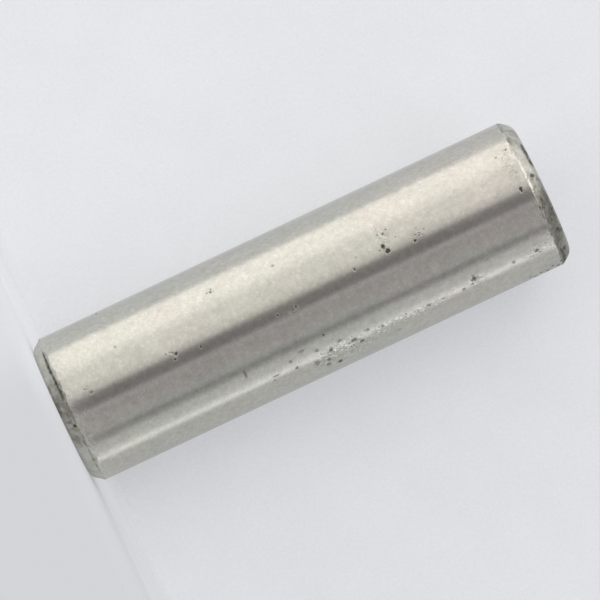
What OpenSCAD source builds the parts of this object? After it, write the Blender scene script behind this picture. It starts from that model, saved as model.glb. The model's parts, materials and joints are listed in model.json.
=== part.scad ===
// Piston pin, also called a gudgeon pin: a hardened steel tube, ground outside,
// with a bevel around each end. It stands on one end, with its axis on +Z and
// the middle of its lower end at the origin. All sizes are in millimetres.

/* [Pin] */
// Length over the two end faces
pin_length = 68; // [20:0.5:160]
// Diameter of the ground outside surface
pin_d = 20; // [15:0.05:50]
// Diameter of the bore, which runs right through
bore_d = 12; // [4:0.05:14.5]

/* [Outer bevel] */
// Length of the outer bevel, along the axis
bevel_length = 1.52; // [0.8:0.02:4]
// Depth of the outer bevel, inward from the ground surface
bevel_depth = 1.14; // [0.8:0.02:3]
// Radius that rounds the bevel into the end face
face_round = 1.5; // [0.1:0.05:2]
// Radius that breaks the edge between the bevel and the ground surface
ground_round = 0.75; // [0.1:0.05:1]

/* [Bore bevel] */
// Size of the 45 degree bevel at each mouth of the bore
mouth_bevel = 0.6; // [0.2:0.05:1.5]

/* [Hidden] */
$fn = 128;

pin_r = pin_d / 2;
bore_r = bore_d / 2;
wall = pin_r - bore_r;

// The most of the wall that each bevel and the ground rounding may take
bevel_share = 0.45;
mouth_share = 0.25;
round_share = 0.2;
bevel_in = min(bevel_depth, bevel_share * wall);
mouth_in = min(mouth_bevel, mouth_share * wall);
ground_fillet = min(ground_round, round_share * wall);
face_r = pin_r - bevel_in;
mouth_r = bore_r + mouth_in;

// Angle between the outer bevel and the axis, and how far a rounding of radius
// 1 reaches from its corner along the two lines that meet there
slope = atan2(bevel_in, bevel_length);
face_turn = tan((90 - slope) / 2);
ground_turn = tan(slope / 2);

// The face rounding is small enough for its whole circle to lie over the ring
// between the two bevels, so a flat part of that ring always stays at the end
face_fillet = min(face_round, (face_r - mouth_r) / (1 + face_turn));
face_reach = face_fillet * face_turn;
ground_reach = ground_fillet * ground_turn;

// One end of the wall in section, with X across from the axis and Y up the pin.
// A rounded corner is a straight cut between the two ends of its arc, filled
// out by the whole circle of the arc.
module end_section(height) {
    along_bevel = [sin(slope), cos(slope)];
    face_corner = [face_r, 0];
    ground_corner = [pin_r, bevel_length];
    polygon([
        [bore_r, mouth_in],
        [mouth_r, 0],
        face_corner - [face_reach, 0],
        face_corner + face_reach * along_bevel,
        ground_corner - ground_reach * along_bevel,
        ground_corner + [0, ground_reach],
        [pin_r, height],
        [bore_r, height],
    ]);
    translate([face_r - face_reach, face_fillet])
        circle(face_fillet);
    translate([pin_r - ground_fillet, bevel_length + ground_reach])
        circle(ground_fillet);
}

// The whole pin: one end's section and its mirror image, spun around the axis
module piston_pin() {
    color("silver")
        rotate_extrude() {
            end_section(pin_length / 2);
            translate([0, pin_length])
                mirror([0, 1])
                    end_section(pin_length / 2);
        }
}

piston_pin();
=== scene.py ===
"""A ground steel piston pin that stands on its end, with its pits, marks and stage.

All lengths are in metres and all angles in radians, except where a name ends
in _mm or _deg. Directions round the pin are counted from -Y, towards +X.
"""

import json
import math
import random
from typing import NamedTuple

import bmesh
import bpy
from bpy.props import FloatProperty, FloatVectorProperty, IntProperty, PointerProperty
from mathutils import Matrix, Vector, kdtree, noise


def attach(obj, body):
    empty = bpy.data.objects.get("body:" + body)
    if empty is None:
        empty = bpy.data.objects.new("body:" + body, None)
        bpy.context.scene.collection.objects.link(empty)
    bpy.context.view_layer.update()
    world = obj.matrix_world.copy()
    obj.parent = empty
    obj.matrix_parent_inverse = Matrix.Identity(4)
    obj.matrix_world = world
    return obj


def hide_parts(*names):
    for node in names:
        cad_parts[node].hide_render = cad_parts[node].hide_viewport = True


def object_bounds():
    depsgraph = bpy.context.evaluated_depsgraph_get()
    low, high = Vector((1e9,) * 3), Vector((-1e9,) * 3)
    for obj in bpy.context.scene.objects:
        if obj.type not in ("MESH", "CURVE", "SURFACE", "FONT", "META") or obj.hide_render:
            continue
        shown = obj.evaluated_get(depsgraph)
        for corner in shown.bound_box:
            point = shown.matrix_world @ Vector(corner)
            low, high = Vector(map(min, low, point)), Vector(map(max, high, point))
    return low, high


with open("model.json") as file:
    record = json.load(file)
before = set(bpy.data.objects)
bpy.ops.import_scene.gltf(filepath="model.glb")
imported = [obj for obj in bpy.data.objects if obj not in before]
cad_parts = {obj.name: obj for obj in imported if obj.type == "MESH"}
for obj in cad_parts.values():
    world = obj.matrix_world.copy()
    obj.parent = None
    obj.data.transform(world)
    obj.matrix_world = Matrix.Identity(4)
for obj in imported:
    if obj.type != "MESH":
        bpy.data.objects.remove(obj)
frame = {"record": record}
CAD_LOW, CAD_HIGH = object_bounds()

bl_info = {
    "name": "Piston pin",
    "version": (1, 0, 0),
    "blender": (4, 5, 0),
    "location": "3D View > Sidebar > Piston Pin",
    "description": "Builds a ground steel piston pin and a plain stage for it",
    "category": "Object",
}

MM = 0.001
MOUNTS = {mount["name"]: mount for mount in frame["record"]["mounts"]}
PIN_RADIUS = MOUNTS["outer_surface"]["dims"]["r_mm"] * MM
BORE_RADIUS = MOUNTS["bore"]["dims"]["r_mm"] * MM
CAD_NODE = "piston_pin"


# ---------------------------------------------------------------- settings


class PinSizes(bpy.types.PropertyGroup):
    """Sizes of the pin, which follow the CAD frame where it states them."""

    length: FloatProperty(
        name="Length", description="Length over the two end faces",
        default=CAD_HIGH.z - CAD_LOW.z, unit="LENGTH", subtype="DISTANCE")
    radius: FloatProperty(
        name="Radius", description="Radius of the ground outside surface",
        default=PIN_RADIUS, unit="LENGTH", subtype="DISTANCE")
    bore_radius: FloatProperty(
        name="Bore radius", description="Radius of the bore",
        default=BORE_RADIUS, unit="LENGTH", subtype="DISTANCE")
    bevel_length: FloatProperty(
        name="Bevel length", description="Length of the outer bevel along the axis",
        default=1.52 * MM, unit="LENGTH", subtype="DISTANCE")
    bevel_depth: FloatProperty(
        name="Bevel depth", description="Depth of the outer bevel across the wall",
        default=1.14 * MM, unit="LENGTH", subtype="DISTANCE")
    face_round: FloatProperty(
        name="Face rounding", description="Radius between the bevel and the end face",
        default=1.5 * MM, unit="LENGTH", subtype="DISTANCE")
    ground_round: FloatProperty(
        name="Ground rounding", description="Radius between the bevel and the ground surface",
        default=0.75 * MM, unit="LENGTH", subtype="DISTANCE")
    mouth_bevel: FloatProperty(
        name="Mouth bevel", description="Size of the bevel at each mouth of the bore",
        default=0.6 * MM, unit="LENGTH", subtype="DISTANCE")
    steps: IntProperty(
        name="Steps", description="Number of faces round the pin",
        default=192, min=48, max=256)
    row_height: FloatProperty(
        name="Row height", description="Height of one row of faces on the ground surface",
        default=1.0 * MM, unit="LENGTH", subtype="DISTANCE")


class SteelLook(bpy.types.PropertyGroup):
    """Colours and polish of the steel."""

    steel: FloatVectorProperty(
        name="Steel", description="Colour of bare ground steel",
        default=(0.60, 0.59, 0.53), subtype="COLOR", size=3)
    warm_steel: FloatVectorProperty(
        name="Warm steel", description="Colour of ground steel with a faint straw film",
        default=(0.615, 0.585, 0.53), subtype="COLOR", size=3)
    # painted highlight: on the ground surface this bright colour paints glints as bright flecks; on the
    # bevels it brightens random grain
    glint_and_grain_steel: FloatVectorProperty(
        name="Bright steel", description="Colour of freshly rubbed flecks",
        default=(0.92, 0.91, 0.85), subtype="COLOR", size=3)
    dull_steel: FloatVectorProperty(
        name="Dull steel", description="Colour of steel under a thin film of oxide",
        default=(0.30, 0.29, 0.25), subtype="COLOR", size=3)
    scale: FloatVectorProperty(
        name="Scale", description="Colour of the dark scale on the bevels",
        default=(0.13, 0.125, 0.10), subtype="COLOR", size=3)
    rust: FloatVectorProperty(
        name="Rust", description="Colour of the old rust in the pits",
        default=(0.070, 0.064, 0.042), subtype="COLOR", size=3)
    ground_roughness: FloatProperty(
        name="Ground roughness", description="Roughness of the ground surface",
        default=0.11, min=0, max=1, subtype="FACTOR")
    bevel_roughness: FloatProperty(
        name="Bevel roughness", description="Roughness of the bevels",
        default=0.36, min=0, max=1, subtype="FACTOR")


class StageLook(bpy.types.PropertyGroup):
    """Camera, paper and light."""

    camera_distance: FloatProperty(
        name="Camera distance", description="Distance from the camera to the pin's axis",
        default=0.78, unit="LENGTH", subtype="DISTANCE")
    camera_height: FloatProperty(
        name="Camera height", description="Height of the camera over the floor",
        default=28 * MM, unit="LENGTH", subtype="DISTANCE")
    view_width: FloatProperty(
        name="View width", description="Width that the camera sees at the pin",
        default=77.0 * MM, unit="LENGTH", subtype="DISTANCE")
    view_offset: FloatVectorProperty(
        name="View offset", description="How far the view's middle lies from the pin's middle",
        default=(-0.25 * MM, 0, -0.12 * MM), size=3, unit="LENGTH", subtype="XYZ")
    pin_slope: FloatProperty(
        name="Pin's slope", description="Angle of the pin's axis over the picture's base",
        default=math.radians(25.2), unit="ROTATION", subtype="ANGLE")
    # painted light and shade: each paper has a lit colour towards -X, where the light comes from, and a
    # shaded colour towards +X
    backdrop: FloatVectorProperty(
        name="Backdrop", description="Colour of the paper behind the pin, towards -X",
        default=(0.787, 0.80, 0.825), subtype="COLOR", size=3)
    shaded_backdrop: FloatVectorProperty(
        name="Shaded backdrop", description="Colour of the paper behind the pin, towards +X",
        default=(0.778, 0.792, 0.82), subtype="COLOR", size=3)
    lit_side_floor: FloatVectorProperty(
        name="Pale floor", description="Colour of the floor's paper, towards -X",
        default=(0.762, 0.775, 0.795), subtype="COLOR", size=3)
    floor: FloatVectorProperty(
        name="Floor", description="Colour of the floor's paper, towards +X",
        default=(0.69, 0.70, 0.72), subtype="COLOR", size=3)
    glow_share: FloatProperty(
        name="Glow share", description="Share of the papers' own colour over their shading",
        default=0.37, min=0, max=1, subtype="FACTOR")
    lamp_radiance: FloatProperty(
        name="Front light", description="Brightness of the lamp over the camera",
        default=2.4, min=0)


# ---------------------------------------------------------------- shader graph


class Wire:
    """A shader socket that Python's arithmetic works on."""

    def __init__(self, graph, socket):
        self.graph = graph
        self.socket = socket

    def math(self, operation, *others, first=None):
        """A Math node on this value, or on first, and others."""
        values = [self if first is None else first, *others]
        return self.graph.add("ShaderNodeMath", {"operation": operation}, dict(enumerate(values)))

    def __add__(self, other):
        return self.math("ADD", other)

    def __radd__(self, other):
        return self.math("ADD", other)

    def __sub__(self, other):
        return self.math("SUBTRACT", other)

    def __rsub__(self, other):
        return self.math("SUBTRACT", self, first=other)

    def __mul__(self, other):
        return self.math("MULTIPLY", other)

    def __rmul__(self, other):
        return self.math("MULTIPLY", other)

    def __truediv__(self, other):
        return self.math("DIVIDE", other)

    def __rtruediv__(self, other):
        return self.math("DIVIDE", self, first=other)

    def __pow__(self, other):
        return self.math("POWER", other)

    def __rpow__(self, other):
        return self.math("POWER", self, first=other)

    def max(self, other):
        """The larger of two values."""
        return self.math("MAXIMUM", other)

    def rise(self, low, high, start=0.0, end=1.0):
        """start below low, end above high, and a smooth step between them."""
        return self.graph.add(
            "ShaderNodeMapRange", {"interpolation_type": "SMOOTHSTEP"},
            {"Value": self, "From Min": low, "From Max": high, "To Min": start, "To Max": end})


class Graph:
    """A node tree that is built from Python expressions."""

    def __init__(self, tree):
        self.tree = tree
        tree.nodes.clear()

    def add(self, kind, settings=None, sockets=None, out=0):
        """Makes a node, sets it up, feeds its sockets and returns one output."""
        node = self.tree.nodes.new(kind)
        for name, value in (settings or {}).items():
            if name == "stops":
                self.set_stops(node.color_ramp, value)
            else:
                setattr(node, name, value)
        for key, value in (sockets or {}).items():
            if isinstance(value, Wire):
                self.tree.links.new(value.socket, node.inputs[key])
            else:
                node.inputs[key].default_value = value
        return Wire(self, node.outputs[out]) if len(node.outputs) else None

    @staticmethod
    def set_stops(ramp, stops):
        """Gives a colour ramp its stops, each a position and a grey level."""
        while len(ramp.elements) > 1:
            ramp.elements.remove(ramp.elements[-1])
        for index, (position, level) in enumerate(stops):
            element = ramp.elements[0] if index == 0 else ramp.elements.new(position)
            element.position = position
            element.color = (level, level, level, 1)

    def split(self, vector):
        """The three parts of a vector."""
        node = self.tree.nodes.new("ShaderNodeSeparateXYZ")
        self.tree.links.new(vector.socket, node.inputs[0])
        return [Wire(self, output) for output in node.outputs]

    def vector(self, x, y, z):
        """A vector of three values."""
        return self.add("ShaderNodeCombineXYZ", {}, {0: x, 1: y, 2: z})

    def place(self):
        """Object coordinates."""
        return self.add("ShaderNodeTexCoord", out="Object")

    def ray(self, kind):
        """1 for one kind of ray of light, 0 for the others."""
        return self.add("ShaderNodeLightPath", out=kind)

    def painted(self, name):
        """A value that the mesh carries at its vertices."""
        return self.add("ShaderNodeAttribute", {"attribute_name": name}, out="Fac")

    def mix(self, share, first, second):
        """A blend of two colours."""
        first, second = (c if isinstance(c, Wire) else (*c, 1) for c in (first, second))
        return self.add("ShaderNodeMix", {"data_type": "RGBA"}, {0: share, 6: first, 7: second}, out=2)

    def shade(self, colour, level):
        """A colour made lighter or darker by a level about 1."""
        return self.add(
            "ShaderNodeVectorMath", {"operation": "SCALE"}, {0: colour, "Scale": level})

    def noise(self, vector, scale, detail=2.0, roughness=0.5):
        """Noise from 0 to 1 with that many waves a metre."""
        return self.add(
            "ShaderNodeTexNoise", {},
            {"Vector": vector, "Scale": scale, "Detail": detail, "Roughness": roughness})

    def streaks(self, turn_deg, scale, length, detail=1.0):
        """Noise that is drawn out along one direction, which is turned from the axis."""
        turned = self.add("ShaderNodeMapping", {"vector_type": "TEXTURE"}, {
            "Vector": self.place(), "Rotation": [math.radians(a) for a in turn_deg],
            "Scale": (1, 1, length)})
        return self.noise(turned, scale, detail)

    def direction(self, place):
        """Direction of a place round the pin, from 0 to 1, with 0.5 at -Y."""
        x, y, _ = self.split(place)
        return x.math("ARCTAN2", 0 - y) / math.tau + 0.5

    def band(self, direction, stops, top):
        """A level by direction, from stops in degrees."""
        ramp = self.add(
            "ShaderNodeValToRGB",
            {"stops": [(0.5 + degrees / 360, level / top) for degrees, level in stops]},
            {0: direction})
        return ramp * top

    def turn(self, direction, from_deg, to_deg, start=0.0, end=1.0):
        """start before one direction, end beyond another, both in degrees."""
        return direction.rise(0.5 + from_deg / 360, 0.5 + to_deg / 360, start, end)

    def bump(self, height, distance):
        """A normal from a height between 0 and 1 and its full depth."""
        return self.add("ShaderNodeBump", {}, {"Strength": 1.0, "Distance": distance, "Height": height})


def new_material(name):
    """A material with an empty node tree."""
    material = bpy.data.materials.new(name)
    material.use_nodes = True
    return material, Graph(material.node_tree)


def finish_metal(graph, colour, roughness, normal, metallic=1.0):
    """The steel's shader, fed by its colour, roughness and relief."""
    surface = graph.add("ShaderNodeBsdfPrincipled", {}, {
        "Base Color": colour, "Metallic": metallic, "Roughness": roughness, "Normal": normal})
    graph.add("ShaderNodeOutputMaterial", {}, {"Surface": surface})


# ---------------------------------------------------------------- finishes

# How dark each bevel is, by direction in degrees: partly the dark scale that it keeps, and partly
# painted shade and reflection, darker in the directions where the bevel mirrors darker light
LOWER_SCALE_AND_SHADE = [
    (-180, 0.40), (-120, 0.30), (-75, 0.12), (-46, 0.02), (-31, 0.08), (-24, 0.28), (-12, 0.42),
    (0, 0.55), (7, 0.34), (13, 0.20), (20, 0.18), (25, 0.34), (31, 0.18), (38, 0.02), (70, 0.0),
    (90, 0.35), (180, 0.40),
]
UPPER_SCALE_AND_SHADE = [
    (-180, 0.40), (-120, 0.35), (-75, 0.40), (-50, 0.34), (-38, 0.20), (-28, 0.10), (-18, 0.12),
    (-12, 0.20), (-6, 0.34), (0, 0.46), (8, 0.58), (20, 0.64), (38, 0.58), (46, 0.48), (55, 0.36),
    (75, 0.60), (110, 0.50), (180, 0.40),
]


def near_ends(z, sizes, inner, outer):
    """1 nearer to either end than inner, 0 farther than outer."""
    lower = z.rise(inner, outer, 1, 0)
    return lower.max(z.rise(sizes.length - outer, sizes.length - inner))


def ground_steel(look, sizes):
    """The ground and polished outside surface, worn and pitted, with painted highlights: bright flecks
    that stand for glints.
    """
    material, graph = new_material("ground_steel")
    place = graph.place()
    x, y, z = graph.split(place)
    rust = graph.painted("rust")
    haze = graph.painted("haze")
    shine = graph.painted("shine")
    lines = graph.noise(graph.vector(x * 0.02, y * 0.02, z), 9000, detail=3.0)
    mottle = graph.noise(place, 1300, detail=5.0, roughness=0.78)
    clouds = graph.noise(place, 260, detail=2.0)
    scuffs = graph.streaks((62, 0, -25), 2600, 9.0).rise(0.60, 0.74)
    scuffs = scuffs.max(graph.streaks((48, 0, 20), 2200, 12.0).rise(0.62, 0.76))
    rims = near_ends(z, sizes, 1.7 * MM, 3.4 * MM)
    worn = near_ends(z, sizes, 1.5 * MM, 2.1 * MM)
    specks = graph.noise(place, 5200, detail=2.0).rise(0.58, 0.68) * haze.max(rims * 0.5)
    # painted highlight: bright flecks that stand for glints, in the patches and near the worn ends
    painted_glints = graph.noise(place, 2300, detail=3.0).rise(0.50, 0.60) * shine.max(rims * 0.3)
    pebbles = graph.noise(place, 3200, detail=2.0) * haze.max(rims * 0.25)
    stain = (graph.noise(place, 110, detail=2.0) + z.rise(30 * MM, 62 * MM) * 0.2).rise(0.46, 0.80)
    tone = 1 + (mottle - 0.5) * 0.66 + (clouds - 0.5) * 0.16 + scuffs * 0.10 - haze * 0.08
    colour = graph.shade(graph.mix(stain, look.steel, look.warm_steel), tone)
    colour = graph.mix(painted_glints * 0.8, colour, look.glint_and_grain_steel)
    colour = graph.mix(specks * 0.6, colour, look.rust)
    colour = graph.mix(rust, colour, look.rust)
    wear = haze * 0.07 + rust * 0.45 + worn * 0.08
    roughness = look.ground_roughness + clouds * 0.03 + mottle * 0.04 + wear
    height = lines * 0.2 + mottle * 0.9 + scuffs * 0.3 - specks * 2.0 + pebbles * 12
    finish_metal(graph, colour, roughness, graph.bump(height, 0.7e-6), 1 - rust * 0.6)
    return material


def turned_steel(look, sizes):
    """The turned bevels, never ground, under patches of dark scale and of painted shade laid out by
    direction round the pin.
    """
    material, graph = new_material("turned_steel")
    place = graph.place()
    x, y, z = graph.split(place)
    rust = graph.painted("rust")
    grain = graph.noise(place, 2400, detail=4.0, roughness=0.7)
    blotches = graph.noise(place, 620, detail=3.0, roughness=0.6)
    lathe = graph.noise(graph.vector(x * 0.05, y * 0.05, z), 12000, detail=2.0)
    direction = graph.direction(place)
    upper = z.rise(sizes.length * 0.49, sizes.length * 0.51)
    # painted shade: these bands darken the bevels by direction, partly for real scale and partly for
    # shade and dark reflections
    lower_scale_and_shade = graph.band(direction, LOWER_SCALE_AND_SHADE, 1)
    scale = lower_scale_and_shade + (graph.band(direction, UPPER_SCALE_AND_SHADE, 1) - lower_scale_and_shade) * upper
    dull_film_and_shade = (scale + (blotches - 0.5) * 1.2 + (grain - 0.5) * 1.5).rise(-0.10, 0.66)
    crust_and_shade = (scale + (blotches - 0.5) * 1.5 + (grain - 0.5) * 1.8).rise(0.60, 1.05)
    bare = graph.mix(grain.rise(0.42, 0.62) * 0.55, look.steel, look.glint_and_grain_steel)
    colour = graph.mix(dull_film_and_shade, bare, look.dull_steel)
    colour = graph.mix(crust_and_shade, colour, look.scale)
    colour = graph.mix(rust, colour, look.rust)
    roughness = look.bevel_roughness + (grain - 0.5) * 0.2 + crust_and_shade * 0.15 + rust * 0.25
    relief = graph.bump(lathe * 0.2 + grain + blotches * 0.8, 22e-6)
    finish_metal(graph, colour, roughness, relief, 1 - rust * 0.6)
    return material


def faced_steel(look):
    """The end faces, with fine circles from the facing tool."""
    material, graph = new_material("faced_steel")
    place = graph.place()
    x, y, _ = graph.split(place)
    radius = (x * x + y * y) ** 0.5
    circles = graph.noise(graph.vector(radius, x * 0.02, y * 0.02), 9000, detail=3.0)
    blotches = graph.noise(place, 500, detail=4.0, roughness=0.6)
    colour = graph.mix(blotches.rise(0.40, 0.75), look.steel, look.dull_steel)
    roughness = 0.24 + blotches * 0.16
    relief = graph.bump(circles + blotches * 0.4, 3e-6)
    finish_metal(graph, colour, roughness, relief)
    return material


def bored_steel(look):
    """The bore, as the drill and the furnace left it."""
    material, graph = new_material("bored_steel")
    place = graph.place()
    x, y, z = graph.split(place)
    rings = graph.noise(graph.vector(x * 0.03, y * 0.03, z), 5000, detail=3.0)
    blotches = graph.noise(place, 400, detail=4.0, roughness=0.6)
    colour = graph.mix(blotches.rise(0.3, 0.7), look.dull_steel, look.scale)
    roughness = 0.34 + blotches * 0.2
    relief = graph.bump(rings + blotches * 0.6, 8e-6)
    finish_metal(graph, colour, roughness, relief)
    return material


GROUND, TURNED, FACED, BORED = range(4)


def steel_finishes(look, sizes):
    """The pin's materials, in the order of the zones above."""
    return [ground_steel(look, sizes), turned_steel(look, sizes), faced_steel(look), bored_steel(look)]


# ---------------------------------------------------------------- marks


class Pit(NamedTuple):
    """A corrosion pit: where it is, its size and depth, and how rusty it is."""

    height_mm: float
    angle_deg: float
    wide_mm: float
    tall_mm: float
    depth_mm: float
    rust: float = 1.0


PITS = [
    # on the bright side and along the edge of its dark line
    Pit(46.2, -11, 0.72, 0.70, 0.10),
    Pit(46.5, -6.5, 0.80, 0.88, 0.13),
    Pit(46.8, -19.5, 0.36, 0.32, 0.04, 0.8),
    Pit(50.2, -5, 0.52, 0.52, 0.09),
    Pit(41.7, -4.5, 0.48, 0.46, 0.07, 0.9),
    Pit(42.5, -12, 0.32, 0.32, 0.03, 0.5),
    Pit(65.1, -6, 0.95, 0.48, 0.09),
    Pit(65.5, -19, 0.32, 0.28, 0.03, 0.45),
    Pit(65.6, -40, 0.42, 0.38, 0.05, 0.55),
    Pit(64.0, -37, 0.38, 0.32, 0.03, 0.4),
    Pit(66.3, 12, 0.38, 0.38, 0.04, 0.8),
    Pit(4.9, -5.2, 0.50, 0.48, 0.06, 0.8),
    Pit(10.0, -29, 0.34, 0.34, 0.03, 0.35),
    Pit(9.5, -77, 0.60, 0.34, 0.05, 0.8),
    Pit(16.7, -4.5, 0.52, 0.56, 0.07),
    Pit(16.3, -1, 0.46, 0.42, 0.03),
    Pit(19.9, -1.5, 0.46, 0.42, 0.02),
    Pit(23.9, -37, 0.38, 0.34, 0.05, 0.7),
    Pit(32.5, -34.5, 0.40, 0.50, 0.04, 0.4),
    Pit(33.0, 1.5, 0.46, 0.46, 0.02),
    Pit(30.4, 1.5, 0.44, 0.44, 0.02),
    # on the shaded side: the patch in its middle, and the row that leaves it
    Pit(23.5, 31.5, 1.50, 0.44, 0.03, 0.72),
    Pit(27, 46, 0.34, 1.08, 0.02, 0.43),
    Pit(29.4, 39, 0.48, 0.48, 0.03, 0.56),
    Pit(29.8, 48, 0.55, 0.53, 0.04, 0.56),
    Pit(31.2, 34.5, 0.55, 0.90, 0.03, 0.50),
    Pit(33, 40, 0.62, 0.60, 0.03, 0.50),
    Pit(32.5, 53, 0.91, 0.91, 0.06, 0.56),
    Pit(33.7, 61, 0.74, 0.74, 0.05, 0.65),
    Pit(34.6, 30, 0.50, 0.48, 0.03, 0.85),
    Pit(34.7, 46, 0.67, 0.62, 0.05, 0.62),
    Pit(34, 55, 0.53, 0.53, 0.03, 0.8),
    Pit(35.2, 64, 0.74, 0.74, 0.06, 0.85),
    Pit(36.2, 41, 0.46, 0.74, 0.03, 0.50),
    Pit(37.9, 47, 0.66, 1.00, 0.07, 0.60),
    Pit(38.8, 51.5, 0.67, 0.74, 0.05, 0.7),
    Pit(40, 43, 0.48, 0.55, 0.03, 0.50),
    Pit(41.9, 46, 0.48, 0.46, 0.03, 0.50),
    Pit(43.8, 59, 0.46, 0.60, 0.02, 0.25),
    Pit(48.4, 47, 0.57, 0.55, 0.05, 0.4),
    Pit(53.3, 48, 0.53, 0.51, 0.04, 0.45),
    Pit(55, 42, 1.10, 0.64, 0.06, 0.75),
    Pit(57.5, 31, 0.37, 0.55, 0.03, 0.52),
    Pit(60.5, 44, 0.55, 0.53, 0.04, 0.3),
    Pit(63.8, 43, 0.53, 0.51, 0.05, 0.68),
    Pit(61.8, 75, 0.51, 0.42, 0.04, 0.72),
    Pit(62.4, 80, 0.68, 0.42, 0.03, 0.72),
    Pit(63.3, 76, 0.68, 0.42, 0.03, 0.72),
    Pit(64.2, 79, 0.85, 0.59, 0.03, 0.72),
    Pit(65, 73, 0.59, 0.42, 0.03, 0.72),
    Pit(65.7, 78, 1.02, 0.68, 0.04, 0.72),
    Pit(66.2, 70, 0.51, 0.51, 0.03, 0.72),
    # on the bevels
    Pit(1.2, 12, 0.55, 0.50, 0.08),
    Pit(1.30, -46, 0.50, 0.40, 0.05, 0.9),
    Pit(1.25, -34, 0.65, 0.46, 0.07),
    Pit(1.32, -23.5, 0.70, 0.42, 0.07),
    Pit(67.2, -12, 0.80, 0.60, 0.06, 0.9),
    Pit(67.0, 8, 0.60, 0.40, 0.05, 0.9),
    Pit(67.3, 36, 0.80, 0.50, 0.06, 0.9),
    Pit(67.1, 58, 0.90, 0.60, 0.07, 0.9),
    Pit(66.9, 70, 0.70, 0.50, 0.06),
]


class Patch(NamedTuple):
    """A patch of fine pitting: its middle, half sizes, specks and the brightness of its painted glints.
    """

    height_mm: float
    angle_deg: float
    wide_mm: float
    tall_mm: float
    specks: int
    shine: float = 0.3


PATCHES = [
    Patch(36.0, 52, 2.6, 6.0, 50, 0.9),
    Patch(45.0, 48, 0.9, 9.0, 32, 1.0),
    Patch(55.3, 44, 1.2, 1.6, 12, 0.9),
    Patch(63.8, 44, 1.4, 2.4, 12, 0.6),
    Patch(46.8, -18, 1.8, 1.2, 16, 0.55),
    Patch(50.8, -9, 1.0, 1.1, 12, 0.5),
    Patch(65.0, -30, 3.6, 1.3, 9),
    Patch(16.3, -4, 0.8, 0.9, 6),
    Patch(23.9, -37, 0.8, 0.7, 6),
    Patch(4.6, -10, 0.8, 0.8, 2, 0.2),
    Patch(2.3, 22, 3.0, 0.9, 8, 0.2),
    Patch(32.0, 4, 1.0, 1.8, 0),
    Patch(64.5, 72, 2.0, 2.0, 14),
]


class Seam(NamedTuple):
    """A rusty line round part of an edge: its height, its reach and how broken it is."""

    height_mm: float
    from_deg: float
    to_deg: float
    tall_mm: float
    depth_mm: float
    marks: int
    rust: float


SEAMS = [
    Seam(1.30, -53, -11, 0.30, 0.045, 22, 1.0),
    Seam(1.46, -14, 60, 0.22, 0.02, 14, 0.6),
    Seam(67.72, -43, -22, 0.36, 0.05, 12, 1.0),
    Seam(66.56, -70, 55, 0.16, 0.02, 16, 0.5),
    Seam(66.75, 55, 82, 0.42, 0.05, 12, 1.0),
    Seam(1.46, 90, 280, 0.24, 0.02, 20, 0.6),
    Seam(66.54, 90, 280, 0.24, 0.02, 20, 0.6),
]
MARK_SEED = 11
SPECK_SIZES_MM = (0.14, 0.28)
SPECK_DEPTH = 0.14
SPECK_RUST = (0.0, 0.2, 0.7)


def fine_pits(draw):
    """The specks of every patch, densest in its middle."""
    pits = []
    for patch in PATCHES:
        for _ in range(patch.specks):
            height = patch.height_mm + draw.gauss(0, patch.tall_mm / 2)
            side = draw.gauss(0, patch.wide_mm / 2)
            angle = patch.angle_deg + math.degrees(side * MM / PIN_RADIUS)
            size = draw.uniform(*SPECK_SIZES_MM)
            tall = size * draw.uniform(0.8, 1.3)
            pits.append(Pit(height, angle, size, tall, size * SPECK_DEPTH, draw.choice(SPECK_RUST)))
    return pits


def seam_pits(draw):
    """The short marks that make up every seam."""
    pits = []
    for seam in SEAMS:
        step = (seam.to_deg - seam.from_deg) / seam.marks
        for mark in range(seam.marks):
            angle = seam.from_deg + step * (mark + draw.random())
            height = seam.height_mm + draw.gauss(0, seam.tall_mm / 9)
            wide = draw.uniform(0.7, 1.6)
            size = draw.uniform(0.7, 1.15)
            rust = seam.rust * draw.uniform(0.6, 1.0)
            pits.append(Pit(height, angle, wide, seam.tall_mm * size, seam.depth_mm * size, rust))
    return pits


# ---------------------------------------------------------------- the pin

# Two places nearer to each other than this are one
SAME = 1e-6
# How far a mark's middle keeps from the corners at the end faces
CORNER_MARGIN = 0.02 * MM
# How far inside the outline a vertex still counts as its, and how far from an end face
INSIDE_MARGIN = 0.01 * MM
END_MARGIN = 0.001 * MM


def smooth_step(low, high, value):
    """0 below low, 1 above high, and a smooth rise between them."""
    share = min(max((value - low) / (high - low), 0.0), 1.0)
    return share * share * (3 - 2 * share)


def around(radius, angle, height):
    """The point at a radius, a direction and a height."""
    return Vector((radius * math.sin(angle), -radius * math.cos(angle), height))


def across(point):
    """A point's distance from the axis."""
    return math.hypot(point.x, point.y)


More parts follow.
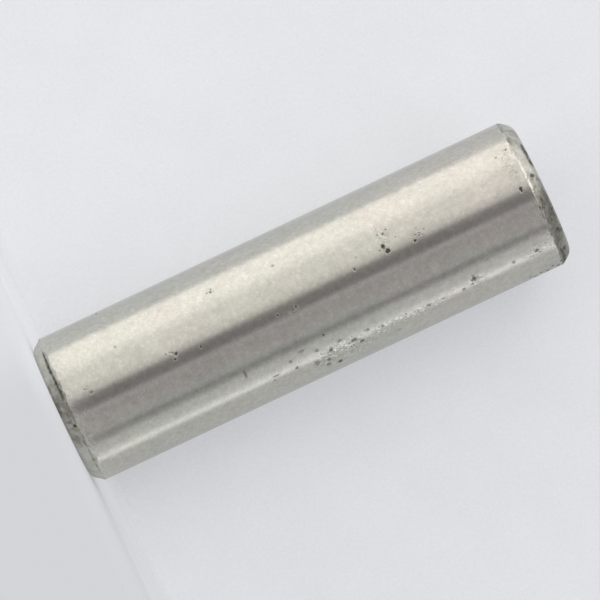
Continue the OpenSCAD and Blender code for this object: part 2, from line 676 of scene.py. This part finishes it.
class Outline:
    """The sound pin's outside, from its end faces over the bevels to the ground surface."""

    def __init__(self, sizes):
        self.sizes = sizes
        self.slope = math.atan2(sizes.bevel_depth, sizes.bevel_length)
        self.face_reach = sizes.face_round * math.tan((math.pi / 2 - self.slope) / 2)
        self.ground_reach = sizes.ground_round * math.tan(self.slope / 2)
        self.face_radius = sizes.radius - sizes.bevel_depth
        self.bevel_start = self.face_reach * math.cos(self.slope)
        self.bevel_end = sizes.bevel_length - self.ground_reach * math.cos(self.slope)
        self.ground_start = sizes.bevel_length + self.ground_reach

    def from_end(self, height):
        """The distance to the nearer end face."""
        return min(height, self.sizes.length - height)

    def radius(self, height):
        """The outside radius at a height."""
        end = self.from_end(height)
        sizes = self.sizes
        if end < self.bevel_start:
            rise = max(sizes.face_round ** 2 - (sizes.face_round - end) ** 2, 0)
            return self.face_radius - self.face_reach + math.sqrt(rise)
        if end < self.bevel_end:
            return self.face_radius + end * math.tan(self.slope)
        if end < self.ground_start:
            fall = sizes.ground_round ** 2 - (self.ground_start - end) ** 2
            return sizes.radius - sizes.ground_round + math.sqrt(fall)
        return sizes.radius

    def point(self, height_mm, angle_deg):
        """The point of the outside at a height and a direction."""
        height = min(max(height_mm * MM, CORNER_MARGIN), self.sizes.length - CORNER_MARGIN)
        return around(self.radius(height), math.radians(angle_deg), height)

    def holds(self, vertex):
        """Whether a vertex lies on the outside, between the two end faces."""
        outside = across(vertex.co) > self.face_radius - self.face_reach - INSIDE_MARGIN
        return outside and self.from_end(vertex.co.z) > END_MARGIN


def section_corners(sizes):
    """The corners of the wall in section, from the bore's lower mouth outwards and up."""
    face = sizes.radius - sizes.bevel_depth
    mouth = sizes.bore_radius + sizes.mouth_bevel
    lower = [
        (sizes.bore_radius, sizes.mouth_bevel),
        (mouth, 0.0),
        (face, 0.0),
        (sizes.radius, sizes.bevel_length),
    ]
    upper = [(out, sizes.length - height) for out, height in reversed(lower)]
    return lower + upper


def spin_wall(sizes):
    """The tube as it leaves the lathe, with sharp corners."""
    mesh = bmesh.new()
    corners = [mesh.verts.new((0, -out, height)) for out, height in section_corners(sizes)]
    for start, end in zip(corners, corners[1:] + corners[:1]):
        mesh.edges.new((start, end))
    bmesh.ops.spin(
        mesh, geom=mesh.verts[:] + mesh.edges[:], cent=(0, 0, 0), axis=(0, 0, 1),
        angle=math.tau, steps=sizes.steps, use_merge=True)
    bmesh.ops.remove_doubles(mesh, verts=mesh.verts, dist=1e-7)
    bmesh.ops.recalc_face_normals(mesh, faces=mesh.faces)
    return mesh


def circle_edges(mesh, radius, heights):
    """The edges of the circles at a radius and at some heights."""
    def on_circle(vertex):
        off_height = min(abs(vertex.co.z - height) for height in heights)
        return abs(across(vertex.co) - radius) < SAME and off_height < SAME

    def level(edge):
        return abs(edge.verts[0].co.z - edge.verts[1].co.z) < SAME

    return [edge for edge in mesh.edges if level(edge) and all(map(on_circle, edge.verts))]


FACE_SEGMENTS = 6
GROUND_SEGMENTS = 4


def round_corners(mesh, outline):
    """Rounds the outer bevel into the end face and into the ground surface."""
    sizes = outline.sizes
    length = sizes.length
    face_circles = circle_edges(mesh, outline.face_radius, (0.0, length))
    bevel_tops = (sizes.bevel_length, length - sizes.bevel_length)
    ground_circles = circle_edges(mesh, sizes.radius, bevel_tops)
    for edges, reach, segments in (
            (face_circles, outline.face_reach, FACE_SEGMENTS),
            (ground_circles, outline.ground_reach, GROUND_SEGMENTS)):
        bmesh.ops.bevel(
            mesh, geom=edges, offset=reach, offset_type="OFFSET", segments=segments,
            profile=0.5, affect="EDGES", material=-1)


def zone_of(face, outline):
    """The finish of a face, from where it lies."""
    middle = face.calc_center_median()
    radius = across(middle)
    end = outline.from_end(middle.z)
    if radius < outline.sizes.bore_radius + outline.sizes.mouth_bevel:
        return BORED
    if end < SAME:
        return FACED
    return TURNED if end < outline.ground_start - SAME else GROUND


# Height of a row of faces by zone, the least height that is cut, and the row at each rim
ROW_MM = {TURNED: 0.22, FACED: 0.5, BORED: 4.0}
LEAST_CUT = 0.6 * MM
RIM_ROW = 0.05 * MM


def add_rows(mesh, outline):
    """Cuts each wide stretch of the section into rows, with a narrow row at its rims."""
    sizes = outline.sizes
    stretches = {}
    for face in mesh.faces:
        middle = face.calc_center_median()
        key = (round(face.normal.z, 2), round(across(middle) / MM, 1), middle.z > sizes.length / 2)
        stretches.setdefault(key, []).append(face)
    for faces in stretches.values():
        longest = max(edge.calc_length() for edge in faces[0].edges)
        if len(faces) != sizes.steps or longest < LEAST_CUT:
            continue
        zone = faces[0].material_index
        bmesh.ops.inset_region(mesh, faces=faces, thickness=RIM_ROW, use_even_offset=True)
        row = sizes.row_height if zone == GROUND else ROW_MM[zone] * MM
        edges = list(dict.fromkeys(edge for face in faces for edge in face.edges))
        longest = max(edge.calc_length() for edge in edges)
        across_rows = [edge for edge in edges if edge.calc_length() > 0.9 * longest]
        cuts = max(1, round(longest / row)) - 1
        if cuts:
            bmesh.ops.subdivide_edges(mesh, edges=across_rows, cuts=cuts)


# Each round's longest edge, its margin round a pit and the smallest pit that it serves, in mm
REFINE_ROUNDS = [
    (0.70, 0.20, 0), (0.36, 0.12, 0), (0.18, 0.08, 0), (0.09, 0.03, 0), (0.058, 0.0, 0.33),
]
# A pit's reach over its size, and the longest that a narrow one counts for, over its width
PIT_REACH = 0.62
NARROW_PIT = 2.2


def plant(points):
    """A tree that finds the points near a place."""
    tree = kdtree.KDTree(len(points))
    for index, point in enumerate(points):
        tree.insert(point, index)
    tree.balance()
    return tree


def refine(mesh, pits, outline):
    """Makes the faces finer near each pit, in several rounds."""
    tree = plant([outline.point(pit.height_mm, pit.angle_deg) for pit in pits])
    sizes_mm = []
    for pit in pits:
        least, most = sorted((pit.wide_mm, pit.tall_mm))
        sizes_mm.append(min(most, NARROW_PIT * least))
    widest = max(sizes_mm)
    for longest_mm, margin_mm, smallest_mm in REFINE_ROUNDS:
        chosen = []
        for edge in mesh.edges:
            length_mm = edge.calc_length() / MM
            if length_mm < longest_mm or not all(outline.holds(vertex) for vertex in edge.verts):
                continue
            middle = (edge.verts[0].co + edge.verts[1].co) / 2
            reach_mm = margin_mm + length_mm / 2
            for _, index, distance in tree.find_range(middle, (widest * PIT_REACH + reach_mm) * MM):
                size_mm = sizes_mm[index]
                if size_mm > smallest_mm and distance < (size_mm * PIT_REACH + reach_mm) * MM:
                    chosen.append(edge)
                    break
        bmesh.ops.subdivide_edges(mesh, edges=chosen, cuts=1, use_grid_fill=True)


def true_up(mesh, outline):
    """Moves the outside's new vertices out from their chords onto the round surface."""
    for vertex in mesh.verts:
        if outline.holds(vertex):
            share = outline.radius(vertex.co.z) / across(vertex.co)
            vertex.co.x *= share
            vertex.co.y *= share


def inside_pit(pit, seed, offset):
    """How far out in a pit's ragged outline an offset is: 0 in its middle, 1 at its rim."""
    angle = math.radians(pit.angle_deg)
    side = offset.x * math.cos(angle) + offset.y * math.sin(angle)
    along = side / (pit.wide_mm * MM / 2)
    up = offset.z / (pit.tall_mm * MM / 2)
    ragged = 1 + 0.55 * noise.noise(Vector((along * 1.3 + seed * 7.1, up * 1.3, seed)))
    return math.hypot(along, up) * ragged


def pit_depth(far):
    """A pit's depth by how far out a place lies, with a slightly sharpened rim."""
    return 1 - smooth_step(0.25, 1.0, far) - 0.06 * math.exp(-((far - 1.15) / 0.18) ** 2)


def pit_stain(far):
    """A pit's rust by how far out a place lies: most in the pit, and a faint ring round it."""
    return 0.8 * (1 - smooth_step(0.5, 1.1, far)) + 0.2 * (1 - smooth_step(0.9, 1.7, far))


def sink_pits(mesh, pits, outline):
    """Sinks the pits into the outside and paints their rust."""
    rust = mesh.verts.layers.float.new("rust")
    mesh.verts.ensure_lookup_table()
    outside = [vertex for vertex in mesh.verts if outline.holds(vertex)]
    tree = plant([vertex.co for vertex in outside])
    depths = {}
    for seed, pit in enumerate(pits):
        centre = outline.point(pit.height_mm, pit.angle_deg)
        reach = max(pit.wide_mm, pit.tall_mm) * MM
        for point, index, _ in tree.find_range(centre, reach):
            far = inside_pit(pit, seed, point - centre)
            depths[index] = max(depths.get(index, 0.0), pit_depth(far) * pit.depth_mm * MM)
            vertex = outside[index]
            vertex[rust] = max(vertex[rust], pit.rust * pit_stain(far))
    for index, depth in depths.items():
        vertex = outside[index]
        vertex.co -= around(depth, math.atan2(vertex.co.x, -vertex.co.y), 0)


def paint_haze(mesh, outline):
    """Paints the patches of fine pitting and the strength of their painted glints."""
    haze = mesh.verts.layers.float.new("haze")
    shine = mesh.verts.layers.float.new("shine")
    outside = [vertex for vertex in mesh.verts if outline.holds(vertex)]
    tree = plant([vertex.co for vertex in outside])
    for patch in PATCHES:
        centre = outline.point(patch.height_mm, patch.angle_deg)
        angle = math.radians(patch.angle_deg)
        reach = max(patch.wide_mm, patch.tall_mm) * MM * 1.2
        for point, index, _ in tree.find_range(centre, reach):
            offset = point - centre
            side = offset.x * math.cos(angle) + offset.y * math.sin(angle)
            far = math.hypot(side / (patch.wide_mm * MM), offset.z / (patch.tall_mm * MM))
            vertex = outside[index]
            share = 1 - smooth_step(0.2, 1.1, far)
            vertex[haze] = max(vertex[haze], share)
            vertex[shine] = max(vertex[shine], share * patch.shine)


# Waves a metre of the unevenness of the bevels and their rims
COARSE_WAVES = 900
FINE_WAVES = 2600
# How far from an end face the dents, and the wandering of the rims, begin and stop
DENTS_BEGIN = (0, 0.3 * MM)
DENTS_STOP = (1.45 * MM, 1.8 * MM)
WANDER_BEGINS = (0.9 * MM, 1.5 * MM)
WANDER_STOPS = (1.7 * MM, 2.4 * MM)


def dent_bevels(mesh, outline):
    """Dents the turned bevels, and makes their rims wander along the pin."""
    for vertex in mesh.verts:
        if not outline.holds(vertex):
            continue
        end = outline.from_end(vertex.co.z)
        share = smooth_step(*DENTS_BEGIN, end) * (1 - smooth_step(*DENTS_STOP, end))
        shift = smooth_step(*WANDER_BEGINS, end) * (1 - smooth_step(*WANDER_STOPS, end))
        if share or shift:
            coarse = noise.noise(vertex.co * COARSE_WAVES)
            fine = noise.noise(vertex.co * FINE_WAVES)
            vertex.co.z += shift * (0.16 * coarse + 0.14 * fine) * MM
            depth = share * (0.030 * coarse + 0.015 * fine + 0.018) * MM
            vertex.co -= around(max(depth, 0), math.atan2(vertex.co.x, -vertex.co.y), 0)


SHARP_ANGLE = math.radians(30)


def build_pin(sizes, look):
    """The whole pin, as one closed mesh."""
    outline = Outline(sizes)
    mesh = spin_wall(sizes)
    round_corners(mesh, outline)
    for face in mesh.faces:
        face.smooth = True
        face.material_index = zone_of(face, outline)
    add_rows(mesh, outline)
    draw = random.Random(MARK_SEED)
    pits = PITS + fine_pits(draw) + seam_pits(draw)
    refine(mesh, pits, outline)
    true_up(mesh, outline)
    dent_bevels(mesh, outline)
    sink_pits(mesh, pits, outline)
    paint_haze(mesh, outline)
    mouth = sizes.bore_radius + 1.2 * sizes.mouth_bevel
    for edge in mesh.edges:
        sharp = edge.calc_face_angle(0) > SHARP_ANGLE and across(edge.verts[0].co) < mouth
        edge.smooth = not sharp
    return finish_object("pin_body", mesh, steel_finishes(look, sizes))


def finish_object(name, mesh, materials):
    """Turns a bmesh into an object in the scene."""
    data = bpy.data.meshes.new(name)
    mesh.to_mesh(data)
    mesh.free()
    for material in materials:
        data.materials.append(material)
    piece = bpy.data.objects.new(name, data)
    bpy.context.scene.collection.objects.link(piece)
    return piece


# ---------------------------------------------------------------- the stage

# Light near the horizon, by direction in degrees. It comes in two lists, because a colour
# ramp holds no more than 32 stops
HORIZON = [
    (-180, 0.66), (-179.2, 0.74), (-177, 0.76), (-170, 0.67), (-150, 0.65), (-112, 0.77),
    (-104, 0.79), (-100, 0.91), (-95, 1.29), (-90, 1.34), (-68, 1.34), (-60, 1.26),
    (-52, 1.13), (-46, 1.01), (-30, 0.98), (-22, 0.91), (-14, 0.76), (-10, 0.56),
    (-7, 0.32), (-3, 0.25), (5, 0.225), (9, 0.285), (13, 0.495), (20, 0.43), (44, 0.485),
    (49, 0.455), (55, 0.29), (60, 0.38), (67, 0.61), (80, 0.675), (87, 0.88), (92, 1.14),
]
HORIZON_FAR = [
    (80, 0.675), (87, 0.88), (92, 1.14), (97, 0.84), (101, 0.61), (112, 0.60), (130, 0.60),
    (150, 0.53), (168, 0.48), (176, 0.66), (177.6, 0.735), (178.4, 0.715), (179.2, 0.68),
    (180, 0.66),
]
# Light higher up, by direction
OVERHEAD = [
    (-180, 0.70), (-120, 1.00), (-40, 1.20), (0, 1.20), (50, 1.00), (80, 0.45), (140, 0.45),
    (180, 0.70),
]
# Light right overhead, by direction
ZENITH = [
    (-180, 0.35), (-130, 0.45), (-95, 0.95), (-55, 0.95), (-35, 0.55), (-15, 0.40), (0, 0.35),
    (180, 0.35),
]
# Where the second list takes over from the first
LISTS_JOIN_DEG = (84, 88)
# The elevations over which light higher up, and then right overhead, takes over
OVERHEAD_DEG = (9, 22)
ZENITH_DEG = (58, 72)
# The dark line in front is a little lighter over the horizon
DARK_FROM_DEG = (-14, -6)
DARK_TO_DEG = (8, 14)
OVER_DARK_DEG = (1.4, 3.6)
OVER_DARK = 0.035
# The plain light of the background, towards -X and elsewhere, with the change between two
# values of a ray's X, and its share in what the steel mirrors from below the horizon
PALE_LIGHT = 0.735
PLAIN_LIGHT = 0.655
PALE_SIDE = (-0.017, -0.003)
PLAIN_SHARE = 0.45
BELOW_DEG = (-14, -8)
# The brightness at the top of a ramp
RAMP_TOP = 2.0
# The light's colour, which is cool at first and changes over these directions
COOL_LIGHT = (0.99, 1.01, 1.04)
WARM_LIGHT = (1.00, 0.980, 0.965)
ROSE_LIGHT = (1.00, 0.965, 1.010)
TINTS = [((-104, -96), WARM_LIGHT), ((-12, -4), ROSE_LIGHT), ((24, 54), COOL_LIGHT)]


def studio_level(graph, direction, elevation):
    """How bright the studio is: upright bands near the horizon and a soft sky over them."""
    near = graph.band(direction, HORIZON, RAMP_TOP)
    far = graph.band(direction, HORIZON_FAR, RAMP_TOP)
    level = near + (far - near) * graph.turn(direction, *LISTS_JOIN_DEG)
    dark = graph.turn(direction, *DARK_FROM_DEG) * graph.turn(direction, *DARK_TO_DEG, 1, 0)
    level = level + dark * elevation.rise(*OVER_DARK_DEG) * OVER_DARK
    overhead = graph.band(direction, OVERHEAD, RAMP_TOP)
    zenith = graph.band(direction, ZENITH, RAMP_TOP)
    overhead = overhead + (zenith - overhead) * elevation.rise(*ZENITH_DEG)
    return level + (overhead - level) * elevation.rise(*OVERHEAD_DEG)


def studio_tint(graph, direction, straight):
    """The colour of the light by direction, and of the plain background."""
    tint = COOL_LIGHT
    for turn_deg, colour in TINTS:
        tint = graph.mix(graph.turn(direction, *turn_deg), tint, colour)
    return graph.mix(straight, tint, COOL_LIGHT)


def make_world():
    """Soft studio light for the steel, and a plain background for what is seen straight."""
    world = bpy.data.worlds.new("studio")
    bpy.context.scene.world = world
    world.use_nodes = True
    graph = Graph(world.node_tree)
    place = graph.add("ShaderNodeTexCoord", out="Generated")
    x, _, z = graph.split(place)
    direction = graph.direction(place)
    elevation = z.math("ARCSINE") * (180 / math.pi)
    level = studio_level(graph, direction, elevation)
    straight = graph.ray("Is Camera Ray")
    mirrored = graph.ray("Is Glossy Ray").max(graph.ray("Is Transmission Ray"))
    plain = straight.max(mirrored * elevation.rise(*BELOW_DEG, PLAIN_SHARE, 0))
    level = level + (x.rise(*PALE_SIDE, PALE_LIGHT, PLAIN_LIGHT) - level) * plain
    tint = studio_tint(graph, direction, straight)
    background = graph.add("ShaderNodeBackground", {}, {"Color": tint, "Strength": level})
    graph.add("ShaderNodeOutputWorld", {}, {"Surface": background})


# Where the paper changes from its painted lit colour towards -X, the side the light comes from, to its
# painted shaded colour towards +X
LIT_SIDE_EDGE = (-9 * MM, 1 * MM)
# How much brighter than matt paper its own colour is
PAPER_GLOW = 1.09
# The floor fades out between two distances from the pin, and is painted slightly paler behind it:
# painted light that lifts the pin's shadow there
FLOOR_HALF = 80 * MM
FLOOR_FADE = (22 * MM, 70 * MM)
FLOOR_BEHIND = (2 * MM, 12 * MM)
PAINTED_LIGHT_BEHIND = 1.07
# The backdrop stands close behind the pin, and fades out in the same way and at its foot
BACKDROP_HALF = 90 * MM
BACKDROP_GAP = 0.05 * MM
BACKDROP_FADE = (60 * MM, 85 * MM)
BACKDROP_FOOT = (0, 3.0 * MM)


def paper_colour(graph, lit_colour, colour):
    """Paper with a fine grain and faint clouds, painted paler towards -X, the lit side, as painted
    light.
    """
    grain = graph.noise(graph.place(), 2600, detail=4.0, roughness=0.8)
    clouds = graph.noise(graph.place(), 130, detail=2.0)
    tone = 1 + (grain - 0.5) * 0.19 + (clouds - 0.5) * 0.05
    x, _, _ = graph.split(graph.place())
    return graph.shade(graph.mix(x.rise(*LIT_SIDE_EDGE), lit_colour, colour), tone)


def near_place(graph, centre, fade):
    """1 near a centre and 0 far from it."""
    offset = graph.add(
        "ShaderNodeVectorMath", {"operation": "DISTANCE"}, {0: graph.place(), 1: centre}, out="Value")
    return offset.rise(*fade, 1.0, 0.0)


def finish_paper(graph, colour, shown, look):
    """Matt paper, partly in its own plain colour where it is seen, and clear where it isn't shown."""
    matt = graph.add("ShaderNodeBsdfDiffuse", {}, {"Color": colour})
    seen = graph.ray("Is Camera Ray").max(graph.ray("Is Glossy Ray"))
    seen = seen.max(graph.ray("Is Transmission Ray"))
    glow = graph.add("ShaderNodeEmission", {}, {"Color": colour, "Strength": PAPER_GLOW})
    paper = graph.add("ShaderNodeMixShader", {}, {0: seen * look.glow_share, 1: matt, 2: glow})
    clear = graph.add("ShaderNodeBsdfTransparent")
    surface = graph.add("ShaderNodeMixShader", {}, {0: shown, 1: clear, 2: paper})
    graph.add("ShaderNodeOutputMaterial", {}, {"Surface": surface})


def floor_paper(look):
    """The floor's paper."""
    material, graph = new_material("floor_paper")
    _, y, _ = graph.split(graph.place())
    colour = paper_colour(graph, look.lit_side_floor, look.floor)
    # painted light: the floor is made paler behind the pin, over the pin's shadow
    colour = graph.shade(colour, y.rise(*FLOOR_BEHIND, 1, PAINTED_LIGHT_BEHIND))
    finish_paper(graph, colour, near_place(graph, (0, 0, 0), FLOOR_FADE), look)
    return material


def backdrop_paper(look, centre):
    """The backdrop's paper, which only its front shows."""
    material, graph = new_material("backdrop_paper")
    _, _, z = graph.split(graph.place())
    colour = paper_colour(graph, look.backdrop, look.shaded_backdrop)
    front = 1 - graph.add("ShaderNodeNewGeometry", out="Backfacing")
    shown = near_place(graph, centre, BACKDROP_FADE) * front * z.rise(*BACKDROP_FOOT)
    finish_paper(graph, colour, shown, look)
    return material


def make_sheet(name, half_width, turn, place, material):
    """A square sheet of paper."""
    mesh = bmesh.new()
    bmesh.ops.create_grid(mesh, x_segments=1, y_segments=1, size=half_width)
    bmesh.ops.rotate(mesh, verts=mesh.verts, cent=(0, 0, 0), matrix=turn)
    bmesh.ops.translate(mesh, verts=mesh.verts, vec=place)
    sheet = finish_object(name, mesh, [material])
    return sheet


def make_floor(look):
    """The floor that the pin stands on."""
    make_sheet("floor", FLOOR_HALF, Matrix.Identity(3), (0, 0, 0), floor_paper(look))


def make_backdrop(look, sizes):
    """The sheet right behind the pin, which neither lights it nor shades it."""
    behind = sizes.radius + BACKDROP_GAP
    paper = backdrop_paper(look, (0, behind, sizes.length / 2))
    upright = Matrix.Rotation(math.radians(90), 3, "X")
    sheet = make_sheet("backdrop", BACKDROP_HALF, upright, (0, behind, BACKDROP_HALF), paper)
    sheet.visible_glossy = False
    sheet.visible_diffuse = False
    sheet.visible_shadow = False


LAMP_WIDTH = 0.5
LAMP_HEIGHT = 0.32
LAMP_DISTANCE = 0.75
LAMP_DIRECTION = math.radians(-18)
LAMP_ELEVATION = math.radians(42)


def make_light(look, sizes):
    """One wide soft light in front of the pin and over the camera."""
    data = bpy.data.lights.new("front_light", "AREA")
    data.shape = "RECTANGLE"
    data.size = LAMP_WIDTH
    data.size_y = LAMP_HEIGHT
    data.energy = look.lamp_radiance * math.pi * data.size * data.size_y
    light = bpy.data.objects.new("front_light", data)
    bpy.context.scene.collection.objects.link(light)
    back = around(math.cos(LAMP_ELEVATION), LAMP_DIRECTION, math.sin(LAMP_ELEVATION))
    place = Vector((0, 0, sizes.length / 2)) + back * LAMP_DISTANCE
    turn = back.to_track_quat("Z", "Y").to_matrix().to_4x4()
    light.matrix_world = Matrix.Translation(place) @ turn


SENSOR_WIDTH_MM = 36.0


def make_camera(look, sizes):
    """A long lens, square to the pin, rolled so that the pin lies on a slope."""
    data = bpy.data.cameras.new("camera")
    data.sensor_width = SENSOR_WIDTH_MM
    data.lens = data.sensor_width * look.camera_distance / look.view_width
    camera = bpy.data.objects.new("camera", data)
    bpy.context.scene.collection.objects.link(camera)
    bpy.context.scene.camera = camera
    middle = Vector((0, 0, sizes.length / 2)) + Vector(look.view_offset)
    place = Vector((middle.x, -look.camera_distance, look.camera_height))
    back = (place - middle).normalized()
    slope = look.pin_slope
    right = Vector((math.sin(slope), 0, math.cos(slope)))
    up = back.cross(right).normalized()
    right = up.cross(back)
    turn = Matrix((right, up, back)).transposed().to_4x4()
    camera.matrix_world = Matrix.Translation(place) @ turn


# ---------------------------------------------------------------- add-on


class PISTONPIN_OT_build_pin(bpy.types.Operator):
    """Builds the pin's steel body, with its pits and finishes"""

    bl_idname = "piston_pin.build_pin"
    bl_label = "Build the Pin"

    def execute(self, context):
        pin = build_pin(context.scene.pin_sizes, context.scene.steel_look)
        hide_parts(CAD_NODE)
        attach(pin, "root")
        return {"FINISHED"}


class PISTONPIN_OT_set_stage(bpy.types.Operator):
    """Sets up the papers, the light and the camera"""

    bl_idname = "piston_pin.set_stage"
    bl_label = "Set the Stage"

    def execute(self, context):
        look = context.scene.stage_look
        sizes = context.scene.pin_sizes
        context.scene.view_settings.view_transform = "Standard"
        make_world()
        make_floor(look)
        make_backdrop(look, sizes)
        make_light(look, sizes)
        make_camera(look, sizes)
        return {"FINISHED"}


class PISTONPIN_PT_panel(bpy.types.Panel):
    """Lists the steps in the sidebar"""

    bl_label = "Piston Pin"
    bl_space_type = "VIEW_3D"
    bl_region_type = "UI"
    bl_category = "Piston Pin"

    def draw(self, context):
        for operator in OPERATORS:
            self.layout.operator(operator.bl_idname)
        for group in GROUPS:
            settings = getattr(context.scene, group)
            for name in settings.bl_rna.properties.keys():
                if name not in ("rna_type", "name"):
                    self.layout.prop(settings, name)


OPERATORS = [PISTONPIN_OT_build_pin, PISTONPIN_OT_set_stage]
GROUPS = {"pin_sizes": PinSizes, "steel_look": SteelLook, "stage_look": StageLook}
CLASSES = [*GROUPS.values(), *OPERATORS, PISTONPIN_PT_panel]


def register():
    """Registers the classes and gives the scene its settings."""
    for kind in CLASSES:
        bpy.utils.register_class(kind)
    for name, group in GROUPS.items():
        setattr(bpy.types.Scene, name, PointerProperty(type=group))


def unregister():
    """Takes the settings and the classes away again."""
    for name in GROUPS:
        delattr(bpy.types.Scene, name)
    for kind in reversed(CLASSES):
        bpy.utils.unregister_class(kind)


def main():
    """Builds the pin and its stage."""
    register()
    bpy.ops.piston_pin.build_pin()
    bpy.ops.piston_pin.set_stage()


if __name__ == "__main__":
    main()
